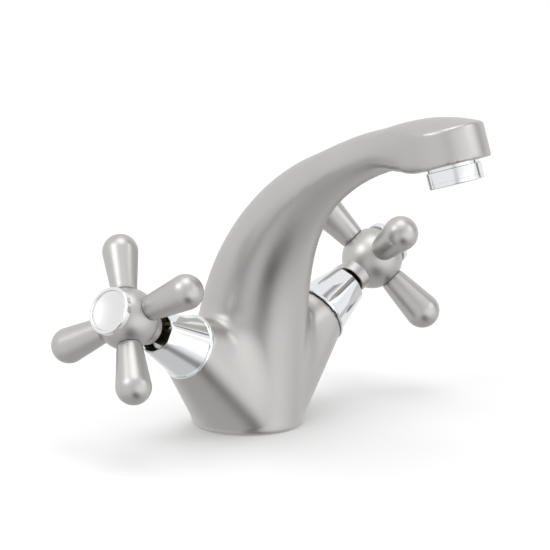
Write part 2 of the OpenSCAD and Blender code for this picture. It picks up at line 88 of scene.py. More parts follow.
class BodySizes(bpy.types.PropertyGroup):
    base_radius: length("Base radius", "Radius of the round base", 25)
    edge_radius: length("Base edge", "Rounding of the base's lower edge", 1.5)
    reach: length("Outlet reach", "Distance from the base's centre to the outlet's centre", 124)
    height: length("Outlet height", "Height of the outlet's centre above the deck", 127.5)
    tilt: angle("Outlet tilt", "Angle by which the outlet points away from the body", 19.6)
    trunk_rise: length("Trunk rise", "Height of the trunk curve's first control point", 88)
    spout_run: length("Spout run", "Length of the last leg of the spout's centreline", 86.5)
    spout_slope: angle("Spout slope", "Slope of the last leg of the spout's centreline", 16.8)
    tip_radius: length("Tip radius", "Radius of the round tip", 16.8)
    tip_lift: length("Tip lift", "Height of the tip's underside above the outlet", 8.3)
    crown_top: length("Crown height", "Height of the crown above the outlet", 31.1)
    crown_back: length("Crown setback", "Distance of the crown's top behind the outlet", 21.5)
    crown_long: length("Crown length radius", "Radius of the crown along the spout", 100)
    crown_side: length("Crown side radius", "Radius of the crown across the spout", 34)
    boss_radius: length("Boss radius", "Radius of a valve boss", 14)
    shoulder_rise: length("Shoulder rise", "Height at which the shoulders flow into the trunk", 36)
    shoulder_radius: length("Shoulder radius", "Radius of the trunk that the shoulders aim for", 19.5)
    grain: length("Casting detail", "Edge length of the body's surface mesh", 0.68)


class HandleSizes(bpy.types.PropertyGroup):
    hub_out: length("Hub distance", "Distance from a boss to the hub's centre", 41.3)
    hub_radius: length("Hub radius", "Radius of the hub", 13.6)
    cap_seat: length("Cap seat", "Distance from the hub's centre to the cap ring's seat", 9.9)
    skirt_radius: length("Skirt radius", "Radius of the skirt behind the hub", 7.4)
    skirt_back: length("Skirt length", "Length of the hub and skirt behind the hub's centre", 15.8)
    lever_reach: length("Lever reach", "Distance from the axis to a lever's ball", 32.6)
    ball_radius: length("Ball radius", "Radius of the ball at a lever's end", 7.85)
    foot_radius: length("Lever foot", "Radius of a lever where it meets the hub", 5.6)
    ring_radius: length("Ring radius", "Radius of the cap ring", 10.65)
    ring_height: length("Ring height", "Height of the cap ring", 2.9)
    left_turn: angle("Left turn", "Angle of the left handle's first lever", 32)
    right_turn: angle("Right turn", "Angle of the right handle's first lever", 53)


class ConeSizes(bpy.types.PropertyGroup):
    base_radius: length("Bead radius", "Radius of the bead at the cover's base", 14.6)
    mouth_radius: length("Mouth radius", "Radius of the cover's mouth", 9.4)
    height: length("Cover length", "Length of the conical cover", 22)
    bead: length("Bead height", "Height of the bead at the cover's base", 1.3)
    step: length("Bead step", "Distance between the bead and the cone", 1)
    wall: length("Wall", "Wall of the cover", 1.2)
    flat_depth: length("Flat depth", "Depth of the flats at the mouth", 0.5)
    flat_length: length("Flat length", "Length of the flats from the mouth", 12)


class AeratorSizes(bpy.types.PropertyGroup):
    radius: length("Housing radius", "Radius of the aerator's housing", 12)
    rim: length("Rim height", "Height of the full-width rim", 7)
    height: length("Housing height", "Height of the whole housing", 15)
    bore: length("Bore radius", "Radius of the housing's bore", 10.2)


class Finishes(bpy.types.PropertyGroup):
    nickel: tint("Satin nickel", "Colour of the satin nickel", (0.54, 0.529, 0.515))
    nickel_rough: share("Nickel roughness", "Roughness of the satin nickel", 0.37)
    pale: tint("Pale nickel", "Colour of the index discs", (0.80, 0.80, 0.80))
    chrome: tint("Chrome", "Colour of the polished chrome", (0.83, 0.84, 0.85))
    # Painted shade: the brass tint is kept far darker than real brass, so that the inner brass parts seen in
    # the covers' mouths stand for the shade in there.
    brass: tint("Brass", "Colour of the machined brass", (0.11, 0.092, 0.066))
    steel: tint("Steel", "Colour of the stainless steel", (0.58, 0.58, 0.59))
    rubber: tint("Rubber", "Colour of the rubber", (0.02, 0.02, 0.02))
    ceramic: tint("Ceramic", "Colour of the ceramic", (0.86, 0.85, 0.80))
    plastic: tint("Plastic", "Colour of the white plastic", (0.80, 0.80, 0.80))


class StageSetting(bpy.types.PropertyGroup):
    focal: FloatProperty(name="Focal length", description="Camera's focal length in mm", default=325.03)
    floor: tint("Floor", "Colour of the floor", (0.93, 0.93, 0.93))
    sky: share("Surround", "Brightness of the pale surround", 0.95)


# ---- making meshes ----

def rings_of(bm, matrices, sides, radius=1.0):
    """Circles of one size put in place by matrices, each bridged to the next, and both ends closed."""
    loops = []
    for place in matrices:
        made = bmesh.ops.create_circle(bm, cap_ends=False, radius=radius, segments=sides, matrix=place)
        loops.append(list({e for v in made["verts"] for e in v.link_edges}))
    for near, far in zip(loops, loops[1:]):
        bmesh.ops.bridge_loops(bm, edges=near + far)
    for end in (loops[0], loops[-1]):
        bmesh.ops.edgeloop_fill(bm, edges=end)
    bmesh.ops.recalc_face_normals(bm, faces=bm.faces)


def turned(profile, steps, closed=False):
    """A bmesh turned round the z axis from (radius, height) points in millimetres."""
    bm = bmesh.new()
    points = [bm.verts.new((r * MM, 0, z * MM)) for r, z in profile]
    ring = points[1:] + points[:1] if closed else points[1:]
    edges = [bm.edges.new(pair) for pair in zip(points, ring)]
    bmesh.ops.spin(bm, geom=points + edges, cent=(0, 0, 0), axis=(0, 0, 1), dvec=(0, 0, 0),
                   angle=math.tau, steps=steps, use_merge=True, use_normal_flip=False, use_duplicate=False)
    bmesh.ops.remove_doubles(bm, verts=bm.verts, dist=1e-7)
    bmesh.ops.recalc_face_normals(bm, faces=bm.faces)
    return bm


def hull(bm):
    """Turns loose circles into the closed skin stretched over them."""
    made = bmesh.ops.convex_hull(bm, input=bm.verts)
    inner = [g for g in made["geom_interior"] if isinstance(g, bmesh.types.BMVert)]
    bmesh.ops.delete(bm, geom=inner, context="VERTS")


def arc(cx, cz, r, start, end, count):
    """Points of an arc in a profile, in millimetres, from one angle to another in degrees."""
    angles = [math.radians(start + (end - start) * i / count) for i in range(count + 1)]
    return [(cx + r * math.cos(a), cz + r * math.sin(a)) for a in angles]


def slant(start, end, count):
    """Evenly spaced points on a straight line in a profile, from after its start up to its end."""
    (r0, z0), (r1, z1) = start, end
    return [(r0 + (r1 - r0) * k / count, z0 + (z1 - z0) * k / count) for k in range(1, count + 1)]


def drum(radius, low, high, sides=96):
    """A closed cylinder along z, in millimetres."""
    bm = bmesh.new()
    rings_of(bm, [Matrix.Translation((0, 0, z * MM)) for z in (low, high)], sides, radius * MM)
    return bm


def loose(bm, name, place=Matrix.Identity(4)):
    """A scratch object made from a bmesh."""
    bmesh.ops.transform(bm, matrix=place, verts=bm.verts)
    bmesh.ops.recalc_face_normals(bm, faces=bm.faces)
    mesh = bpy.data.meshes.new(name)
    bm.to_mesh(mesh)
    bm.free()
    obj = bpy.data.objects.new(name, mesh)
    bpy.context.scene.collection.objects.link(obj)
    return obj


def drop(obj):
    """Removes a scratch object and its mesh."""
    mesh = obj.data
    bpy.data.objects.remove(obj)
    bpy.data.meshes.remove(mesh)


def settle(obj):
    """Applies an object's modifiers to its mesh."""
    bpy.context.view_layer.update()
    shape = obj.evaluated_get(bpy.context.evaluated_depsgraph_get())
    mesh, old = bpy.data.meshes.new_from_object(shape), obj.data
    obj.modifiers.clear()
    obj.data = mesh
    bpy.data.meshes.remove(old)


def carve(obj, tool, operation="DIFFERENCE"):
    """Cuts a tool from an object, or keeps what they share, and removes the tool."""
    cut = obj.modifiers.new("Cut", "BOOLEAN")
    cut.operation, cut.object, cut.solver = operation, tool, "MANIFOLD"
    settle(obj)
    drop(tool)
    if not obj.data.polygons:
        raise RuntimeError(f"cutting {obj.name} left nothing")


def finish_piece(bm, name, body, material, stands_for, place=Matrix.Identity(4)):
    """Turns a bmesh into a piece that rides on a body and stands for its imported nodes."""
    bmesh.ops.transform(bm, matrix=place, verts=bm.verts)
    bmesh.ops.recalc_face_normals(bm, faces=bm.faces)
    for face in bm.faces:
        face.smooth = True
    for edge in bm.edges:
        if not edge.is_manifold or edge.calc_face_angle(0) > SMOOTH_TO:
            edge.smooth = False
    mesh = bpy.data.meshes.new(name)
    bm.to_mesh(mesh)
    bm.free()
    mesh.materials.append(bpy.data.materials[material])
    obj = bpy.data.objects.new(name, mesh)
    bpy.context.scene.collection.objects.link(obj)
    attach(obj, body)
    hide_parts(*stands_for)


def valve_place(side, out=0.0):
    """Frame of a handle's axis, with z = 0 at the boss face or further out."""
    joint = JOINTS[f"{side}_handle"]
    axis = Vector(joint["axis"])
    turn = Vector((0, 0, 1)).rotation_difference(axis).to_matrix().to_4x4()
    return Matrix.Translation(Vector(joint["pos_m"]) + axis * out) @ turn


def outlet_place(sizes):
    """Frame of the outlet's axis, with z pointing into the tip."""
    return Matrix.Translation((0, -sizes.reach, sizes.height)) @ Matrix.Rotation(-sizes.tilt, 4, "X")


# ---- the casting ----

def bezier(p, t):
    """A cubic curve's value from its four control values."""
    return ((1 - t) ** 3 * p[0] + 3 * (1 - t) ** 2 * t * p[1]
            + 3 * (1 - t) * t * t * p[2] + t ** 3 * p[3])


# Where the centreline ends: behind the outlet as a share of the tip's radius, and above the tip's
# underside in mm.
END_BACK, END_RISE = 0.6, 12.3
# Half-width and half-depth of the spout in mm at the curve's last three control points.
SPOUT_WIDTHS = (26.3, 9.5, 15.5)
SPOUT_DEPTHS = (28, 4.8, 9.6)
SPOUT_RINGS = 72
# Bulges of the spout's underside: mm, place along the curve and spread along it.
BULGES = ((0.5, 0.45, 0.16), (-0.6, 0.86, 0.08))


def spine_of(sizes):
    """Control points of the spout's centreline."""
    place = outlet_place(sizes)
    end = place @ Vector((0, END_BACK * sizes.tip_radius, sizes.tip_lift + END_RISE * MM))
    leg = Vector((0, math.cos(sizes.spout_slope), -math.sin(sizes.spout_slope)))
    return [Vector((0, 0, sizes.edge_radius)), Vector((0, 0, sizes.trunk_rise)),
            end + sizes.spout_run * leg, end]


def spout_loft(sizes):
    """Oval rings along the swan neck, from the base into the tip."""
    spine = spine_of(sizes)
    widths = [sizes.base_radius] + [w * MM for w in SPOUT_WIDTHS]
    depths = [sizes.base_radius] + [d * MM for d in SPOUT_DEPTHS]
    places = []
    for i in range(SPOUT_RINGS + 1):
        t = i / SPOUT_RINGS
        slope = (bezier(spine, min(1, t + 0.002)) - bezier(spine, max(0, t - 0.002))).normalized()
        under = Vector((0, -slope.z, slope.y))
        lean = sum(size * math.exp(-((t - at) / run) ** 2) for size, at, run in BULGES) * MM
        depth = bezier(depths, t) - lean
        centre = bezier(spine, t) + under * lean
        columns = (Vector((1, 0, 0)) * bezier(widths, t), under * depth, slope, centre)
        rows = [[c[k] for c in columns] for k in range(3)] + [[0, 0, 0, 1]]
        places.append(Matrix(rows))
    bm = bmesh.new()
    rings_of(bm, places, 96)
    return bm


# How far inside the foot's rim a shoulder starts, in mm.
WING_INSET = 0.6


def wing(sizes, side):
    """The flared shoulder that carries one valve."""
    bm = bmesh.new()
    inset = (sizes.base_radius / MM) - WING_INSET
    for z, r in ((1.5, inset), (2.5, inset), (sizes.shoulder_rise / MM, sizes.shoulder_radius / MM)):
        bmesh.ops.create_circle(bm, radius=r * MM, segments=128, matrix=Matrix.Translation((0, 0, z * MM)))
    for z in (-4, 0):
        place = valve_place(side) @ Matrix.Translation((0, 0, z * MM))
        bmesh.ops.create_circle(bm, radius=sizes.boss_radius, segments=96, matrix=place)
    hull(bm)
    return bm


def foot(sizes):
    """The round foot with its softened lower edge."""
    r, e = sizes.base_radius / MM, sizes.edge_radius / MM
    return turned([(0, 0), *arc(r - e, e, e, -90, 0, 6), (r, e + 2), (0, e + 2)], 128)


# Circles that the tip's ridge is stretched over: distance back, radius and rise of the underside, in mm.
RIDGE = ((9, 15.5, 3), (26, 12.4, 8), (70, 6, 16))
TIP_TOP = 34


def crowned_tip(sizes):
    """The round tip with its sloping heel and the ridge behind it, under one crown."""
    lift = sizes.tip_lift / MM
    bm = bmesh.new()
    for back, radius, rise in ((0, sizes.tip_radius / MM, 0), *RIDGE):
        for z in (lift + rise, TIP_TOP):
            bmesh.ops.create_circle(bm, radius=radius * MM, segments=128,
                                    matrix=Matrix.Translation((0, back * MM, z * MM)))
    hull(bm)
    tip = loose(bm, "tip", outlet_place(sizes))
    carve(tip, crown_tool(sizes), "INTERSECT")
    bm = bmesh.new()
    bm.from_mesh(tip.data)
    drop(tip)
    return bm


def crown_tool(sizes):
    """A thick curved slab, round both along and across the spout."""
    long_r, side_r, sweep = sizes.crown_long / MM, sizes.crown_side / MM, 1.4
    centre = (0, 0, (long_r - side_r) * MM)
    bm = bmesh.new()
    made = bmesh.ops.create_circle(bm, cap_ends=True, radius=side_r * MM, segments=160,
                                   matrix=Matrix.Translation(centre))
    bmesh.ops.rotate(bm, cent=centre, matrix=Matrix.Rotation(math.pi / 2, 3, "X"), verts=made["verts"])
    bmesh.ops.rotate(bm, cent=(0, 0, 0), matrix=Matrix.Rotation(-sweep / 2, 3, "X"), verts=bm.verts)
    geom = list(bm.verts) + list(bm.edges) + list(bm.faces)
    bmesh.ops.spin(bm, geom=geom, cent=(0, 0, 0), axis=(1, 0, 0), dvec=(0, 0, 0), angle=sweep, steps=90,
                   use_merge=False, use_normal_flip=False, use_duplicate=False)
    top = Matrix.Translation((0, sizes.crown_back, sizes.crown_top - sizes.crown_long))
    return loose(bm, "crown", outlet_place(sizes) @ top)


def relax(bm, verts, passes):
    """Smooths some vertices a number of times."""
    for _ in range(passes):
        bmesh.ops.smooth_vert(bm, verts=verts, factor=0.5, use_axis_x=True, use_axis_y=True,
                              use_axis_z=True)


def fill_valley(bm, verts, passes):
    """Smooths a region but keeps only what moves outwards, so a hollow gets a fillet."""
    bm.normal_update()
    kept = [(v, v.co.copy(), v.normal.copy()) for v in verts]
    relax(bm, verts, passes)
    for v, place, out in kept:
        if (v.co - place).dot(out) < 0:
            v.co = place


# Smoothing of the casting's joins: a reach in mm from both parts that meet, and a number of passes.
VALVE_FILLETS = ((16, 120), (14, 120), (12, 120), (9, 60))
HEEL_FILLETS = ((14, 140), (11, 100), (8, 60), (5, 40))
# The spout's own part of the casting, and the stretch of it that is smoothed most, in mm along y.
NECK_START = -45
NECK_STARTS = (NECK_START, -52, -60, -68)
NECK_END, TIP_START = -104, -118
# Reach in mm and passes that even out the step where the two kinds of fillet meet.
SEAM_FILLETS = ((9, 30), (6, 30), (3, 20))


def ease_joins(mesh, parts):
    """Smooths a fused mesh lightly, and more where two of its parts meet, as a casting's fillets."""
    trees = []
    for part in parts:
        trees.append(BVHTree.FromBMesh(part))
        part.free()
    bm = bmesh.new()
    bm.from_mesh(mesh)
    relax(bm, bm.verts, 3)
    spout, left, right, tip = trees
    near, heel = {}, {}
    for v in bm.verts:
        trunk = spout.find_nearest(v.co)[3]
        if v.co.y < NECK_START * MM:
            heel[v] = max(trunk, tip.find_nearest(v.co)[3])
        elif v.co.z > 5 * MM:
            near[v] = max(trunk, min(left.find_nearest(v.co)[3], right.find_nearest(v.co)[3]))
    for zone, fillets, extra in ((near, VALVE_FILLETS, 6), (heel, HEEL_FILLETS, 4)):
        for reach, passes in fillets:
            region = [v for v, d in zone.items() if d < reach * MM]
            fill_valley(bm, region, passes)
            relax(bm, region, extra)
    relax(bm, list(heel), 4)
    relax(bm, [v for v in heel if v.co.y > TIP_START * MM], 12)
    for start in NECK_STARTS:
        relax(bm, [v for v in heel if NECK_END * MM < v.co.y < start * MM], 22)
    for reach, passes in SEAM_FILLETS:
        relax(bm, [v for v in bm.verts if abs(v.co.y - NECK_START * MM) < reach * MM], passes)
    bm.to_mesh(mesh)
    bm.free()


def ring_cutter(inner, outer, low, high):
    """A closed ring of square section round z, in millimetres."""
    return turned([(inner, low), (outer, low), (outer, high), (inner, high)], 96, closed=True)


# Holes in the casting: radius and the two heights between which each runs, in mm along the hole's own axis.
BASE_RECESS = (19, -1, 8)
STUD_HOLE = (3.4, 7, 22)
INLET_HOLE = (4.5, 7, 20)
AERATOR_HOLE = (11.67, -1, 17)
VALVE_HOLES = ((10.23, -10.4, 1), (9.1, -24, -10))
# Inner and outer radius of the groove for the base's seal, and its two heights, in mm.
SEAL_GROOVE = (20.7, 23.3, -1, 2.4)
STUD_SPOT = (0, 13 * MM, 0)
INLET_SPOTS = ((9 * MM, -3 * MM, 0), (-9 * MM, -3 * MM, 0))


class MIXER_OT_casting(bpy.types.Operator):
    """Builds the cast body with its swan-neck spout, valve shoulders, foot and crowned tip"""
    bl_idname = "mixer.casting"
    bl_label = "Cast body"

    def execute(self, context):
        sizes = context.scene.mixer_body
        parts = [spout_loft(sizes), wing(sizes, "left"), wing(sizes, "right"), crowned_tip(sizes)]
        whole = foot(sizes)
        for part in parts:
            copy = bpy.data.meshes.new("part")
            part.to_mesh(copy)
            whole.from_mesh(copy)
            bpy.data.meshes.remove(copy)
        body = loose(whole, "casting")
        fuse = body.modifiers.new("Fuse", "REMESH")
        fuse.mode, fuse.voxel_size, fuse.adaptivity = "VOXEL", sizes.grain, 0
        settle(body)
        ease_joins(body.data, parts)
        cutters = [(drum(*BASE_RECESS), Matrix.Identity(4)),
                   (ring_cutter(*SEAL_GROOVE), Matrix.Identity(4)),
                   (drum(*STUD_HOLE, 48), Matrix.Translation(STUD_SPOT)),
                   (drum(*AERATOR_HOLE), outlet_place(sizes))]
        cutters += [(drum(*INLET_HOLE, 48), Matrix.Translation(spot)) for spot in INLET_SPOTS]
        cutters += [(drum(*hole), valve_place(side)) for side in SIDES for hole in VALVE_HOLES]
        for tool, place in cutters:
            carve(body, loose(tool, "cutter", place))
        bm = bmesh.new()
        bm.from_mesh(body.data)
        drop(body)
        finish_piece(bm, "cast_body", "body", "Satin nickel", ["body_casting"])
        return {"FINISHED"}


class MIXER_OT_covers(bpy.types.Operator):
    """Builds the two conical covers over the valves"""
    bl_idname = "mixer.covers"
    bl_label = "Valve covers"

    def execute(self, context):
        s = context.scene.mixer_cone
        base, mouth, high, bead = (v / MM for v in (s.base_radius, s.mouth_radius, s.height, s.bead))
        root, wall = base - s.step / MM, s.wall / MM
        depth, run = s.flat_depth / MM, s.flat_length / MM
        flat = math.atan2(root - mouth, high - bead) + math.asin(depth / run)
        for side in SIDES:
            bm = turned([(root - wall, 0), (base - 0.25, 0), (base, 0.3),
                         *arc(base - 0.45, bead - 0.45, 0.45, 0, 80, 4),
                         (root + 0.12, bead), (root, bead + 0.12),
                         *slant((root, bead), (mouth + 0.15, high - 0.5), 12),
                         *arc(mouth - 0.3, high - 0.4, 0.4, 10, 90, 4), (mouth - wall + 0.4, high),
                         (mouth - wall, high - 0.5)], 144, closed=True)
            for i in range(6):
                turn = Matrix.Rotation(math.radians(60 * i + 30), 3, "Z")
                point = turn @ Vector(((mouth - depth) * MM, 0, high * MM))
                away = turn @ Vector((math.cos(flat), 0, math.sin(flat)))
                made = bmesh.ops.bisect_plane(bm, geom=list(bm.verts) + list(bm.edges) + list(bm.faces),
                                              dist=1e-8, plane_co=point, plane_no=away, clear_outer=True)
                rim = [g for g in made["geom_cut"] if isinstance(g, bmesh.types.BMEdge)]
                bmesh.ops.edgeloop_fill(bm, edges=rim)
                for edge in rim:
                    edge.smooth = False
            finish_piece(bm, f"{side}_valve_cover", "body", "Polished chrome",
                         [f"{side}_escutcheon"], valve_place(side))
        return {"FINISHED"}


# Bore of a hub in mm, which takes the splined bush, and the height of its inner end.
BUSH_BORE, BORE_END = 6.03, 1


class MIXER_OT_hubs(bpy.types.Operator):
    """Builds the two round hubs, with the levers that are screwed into them"""
    bl_idname = "mixer.hubs"
    bl_label = "Hubs and levers"

    def execute(self, context):
        s = context.scene.mixer_handle
        hub, seat = s.hub_radius / MM, s.cap_seat / MM
        skirt, back = s.skirt_radius / MM, s.skirt_back / MM
        top, low = math.degrees(math.asin(seat / hub)), -math.degrees(math.acos((skirt + 0.5) / hub))
        for side in SIDES:
            place = valve_place(side, s.hub_out)
            body = f"{side}_handle"
            bm = turned([(0, seat), (6, seat), *arc(0, 0, hub, top, low, 48), (skirt + 0.06, -11.45),
                         (skirt - 0.1, -12), (skirt - 0.55, -back + 0.3), (skirt - 0.8, -back),
                         (BUSH_BORE + 0.17, -back), (BUSH_BORE, -back + 0.2), (BUSH_BORE, BORE_END),
                         (0, BORE_END)], 128)
            finish_piece(bm, f"{side}_round_hub", body, "Satin nickel",
                         [f"{side}_hub"], place)
            for i in range(LEVERS):
                turn = getattr(s, f"{side}_turn") + math.tau * i / LEVERS
                lie = place @ Matrix.Rotation(turn, 4, "Z") @ Matrix.Rotation(math.pi / 2, 4, "Y")
                finish_piece(lever(s), f"{side}_lever_arm_{i + 1}", body, "Satin nickel",
                             [f"{side}_lever_{i + 1}"], lie)
        return {"FINISHED"}


def lever(s):
    """A taper that runs into a ball, with a fine shadow groove at its foot."""
    foot_r, ball, reach = s.foot_radius / MM, s.ball_radius / MM, s.lever_reach / MM
    start = math.sqrt((s.hub_radius / MM) ** 2 - foot_r ** 2)
    run = reach - start
    taper = math.asin(ball / math.hypot(run, foot_r)) - math.atan2(foot_r, run)
    join = 90 + math.degrees(taper)
    far = [(across, along) for along, across in arc(reach, 0, ball, join, 0, 40)]
    shaft = slant((foot_r, start + 0.75), far[0], 14)
    return turned([(0, 9), (2.5, 9), (2.5, 12), (foot_r - 0.65, 12), (foot_r - 0.65, start + 0.38),
                   (foot_r - 0.32, start + 0.4), (foot_r - 0.08, start + 0.52), (foot_r, start + 0.72),
                   *shaft[:-1], *far[:-1], (0, reach + ball)], 72)


# Radii in mm of the cap ring's bore and of its seat for the index disc, and of the disc itself.
RING_BORE, DISC_SEAT, DISC_RADIUS = 7.3, 8.98, 8.93


class MIXER_OT_caps(bpy.types.Operator):
    """Builds the polished cap rings and the dished index discs"""
    bl_idname = "mixer.caps"
    bl_label = "Caps"

    def execute(self, context):
        s = context.scene.mixer_handle
        seat, r, high = s.cap_seat / MM, s.ring_radius / MM, s.ring_height / MM
        top = seat + high
        for side in SIDES:
            place, body = valve_place(side, s.hub_out), f"{side}_handle"
            ring = turned([(RING_BORE, seat), (r - 0.35, seat), *arc(r - 0.2, seat + 0.2, 0.2, -60, 0, 3),
                           *arc(r - 0.85, top - 0.85, 0.85, 0, 90, 8),
                           *arc(r - 1.15, top - 0.55, 0.55, 90, 180, 6),
                           (DISC_SEAT, top - 0.7), (DISC_SEAT, seat + 1), (RING_BORE, seat + 1)],
                          128, closed=True)
            finish_piece(ring, f"{side}_cap_rim", body, "Polished chrome",
                         [f"{side}_cap_ring"], place)
            dish = [(8.2 * k / 10, top - 1.3 + 0.8 * (k / 10) ** 2) for k in range(1, 11)]
            disc = turned([(0, top - 1.3), *dish, (DISC_RADIUS - 0.18, top - 0.5),
                           (DISC_RADIUS, top - 0.65), (DISC_RADIUS, seat + 1.05), (0, seat + 1.05)], 128)
            finish_piece(disc, f"{side}_index_plate", body, "Pale nickel",
                         [f"{side}_index_disc"], place)
        return {"FINISHED"}


# Radii in mm of the aerator's thread and of the relief below it.
THREAD_RADIUS, RELIEF_RADIUS = 11.62, 11.2


class MIXER_OT_aerator(bpy.types.Operator):
    """Builds the chromed aerator housing at the outlet"""
    bl_idname = "mixer.aerator"
    bl_label = "Aerator"

    def execute(self, context):
        s = context.scene.mixer_aerator
        r, rim, high, bore = s.radius / MM, s.rim / MM, s.height / MM, s.bore / MM
        bm = turned([(bore - 1, 0.25), (bore - 0.75, 0), (r - 0.45, 0),
                     *arc(r - 0.45, 0.45, 0.45, -80, 0, 5),
                     (r, 1.82), (r - 0.1, 1.88), (r - 0.1, 2.02), (r, 2.08), (r, rim - 0.3),
                     *arc(r - 0.3, rim - 0.3, 0.3, 10, 90, 4), (RELIEF_RADIUS, rim), (RELIEF_RADIUS, 8.9),
                     (THREAD_RADIUS, 9.1), (THREAD_RADIUS, high), (bore, high), (bore, 2), (bore - 1, 2)],
                    128, closed=True)
        finish_piece(bm, "aerator_shell", "body", "Polished chrome", ["aerator_housing"],
                     outlet_place(context.scene.mixer_body))
        return {"FINISHED"}


# ---- finishes ----

def effect(name, inputs, outputs):
    """An empty node group with named sockets."""
    group = bpy.data.node_groups.new(name, "ShaderNodeTree")
    for label, kind, value in inputs:
        group.interface.new_socket(label, in_out="INPUT", socket_type=kind).default_value = value
    for label, kind in outputs:
        group.interface.new_socket(label, in_out="OUTPUT", socket_type=kind)
    start, end = group.nodes.new("NodeGroupInput"), group.nodes.new("NodeGroupOutput")
    return group, start.outputs, end.inputs


def feed(tree, value, socket):
    """Gives a node's socket a plain number, or links another node's socket to it."""
    if isinstance(value, (int, float)):
        socket.default_value = value
    else:
        tree.links.new(value, socket)


def noise(tree, place, scale, detail):
    """A noise texture over a position."""
    node = tree.nodes.new("ShaderNodeTexNoise")
    node.inputs["Detail"].default_value = detail
    feed(tree, place, node.inputs["Vector"])
    feed(tree, scale, node.inputs["Scale"])
    return node.outputs["Fac"]


def spread(tree, value, low, high):
    """Maps a mask between two values, which may be numbers or sockets."""
    node = tree.nodes.new("ShaderNodeMapRange")
    node.inputs["From Min"].default_value, node.inputs["From Max"].default_value = 0.3, 0.7
    feed(tree, value, node.inputs["Value"])
    feed(tree, low, node.inputs["To Min"])
    feed(tree, high, node.inputs["To Max"])
    return node.outputs["Result"]


def make_effects():
    """Groups that several finishes share: blasted grain, handling marks and slow drifts of tone."""
    spot = ("Position", "NodeSocketVector", (0, 0, 0))
    group, given, out = effect("Fine grain", [spot, ("Scale", "NodeSocketFloat", 3000.0)],
                               [("Height", "NodeSocketFloat")])
    group.links.new(noise(group, given["Position"], given["Scale"], 3.0), out["Height"])

    group, given, out = effect("Handling marks", [spot, ("Scale", "NodeSocketFloat", 60.0),
                                                  ("Cleanest", "NodeSocketFloat", 0.3),
                                                  ("Dullest", "NodeSocketFloat", 0.4)],
                               [("Roughness", "NodeSocketFloat")])
    mask = noise(group, given["Position"], given["Scale"], 4.0)
    group.links.new(spread(group, mask, given["Cleanest"], given["Dullest"]), out["Roughness"])

    group, given, out = effect("Tone drift", [spot, ("Scale", "NodeSocketFloat", 30.0),
                                              ("Light", "NodeSocketColor", (1, 1, 1, 1)),
                                              ("Deep", "NodeSocketColor", (0, 0, 0, 1))],
                               [("Color", "NodeSocketColor")])
    mix = group.nodes.new("ShaderNodeMix")
    mix.data_type = "RGBA"
    mask = noise(group, given["Position"], given["Scale"], 3.0)
    group.links.new(spread(group, mask, 0.0, 1.0), mix.inputs[0])
    group.links.new(given["Light"], mix.inputs[6])
    group.links.new(given["Deep"], mix.inputs[7])
    group.links.new(mix.outputs[2], out["Color"])


def use(tree, name, position, **values):
    """Places a shared effect in a material with its own values."""
    node = tree.nodes.new("ShaderNodeGroup")
    node.node_tree = bpy.data.node_groups[name]
    tree.links.new(position, node.inputs["Position"])
    for label, value in values.items():
        node.inputs[label].default_value = value
    return node.outputs[0]


def material(name, colour, rough, metallic=0.0, grain=2500.0, depth=0.02, drift=0.05, blur=0.04):
    """A finish of one colour family, with grain, handling marks and a slow drift of tone."""
    made = bpy.data.materials.new(name)
    made.use_nodes = True
    tree = made.node_tree
    shader = tree.nodes["Principled BSDF"]
    shader.inputs["Metallic"].default_value = metallic
    position = tree.nodes.new("ShaderNodeTexCoord").outputs["Object"]
    light = [min(1, c * (1 + drift)) for c in colour] + [1]
    deep = [c * (1 - drift) for c in colour] + [1]
    links = tree.links
    tone = use(tree, "Tone drift", position, Scale=28.0, Light=light, Deep=deep)
    links.new(tone, shader.inputs["Base Color"])
    dull = use(tree, "Handling marks", position, Scale=60.0, Cleanest=max(0.02, rough - blur),
               Dullest=rough + blur)
    links.new(dull, shader.inputs["Roughness"])
    bump = tree.nodes.new("ShaderNodeBump")
    bump.inputs["Strength"].default_value = depth
    bump.inputs["Distance"].default_value = 0.1 * MM
    links.new(use(tree, "Fine grain", position, Scale=grain), bump.inputs["Height"])
    links.new(bump.outputs["Normal"], shader.inputs["Normal"])


# Painted shade: the valve housing, spindle and bush take the darkened brass finish, so that what shows
# inside the covers' mouths reads as shade.
CAD_FINISH = {
    "base_seal_ring": "Rubber", "aerator_insert": "White plastic", "aerator_screen": "Steel",
    "aerator_washer": "Rubber", "valve_housing": "Brass", "housing_oring": "Rubber", "fixed_disc": "Ceramic",
    "seat_seal": "Rubber", "spindle": "Brass", "moving_disc": "Ceramic", "spindle_orings": "Rubber",
    "spindle_clip": "Steel", "bush": "Brass", "handle_screw": "Steel",
}


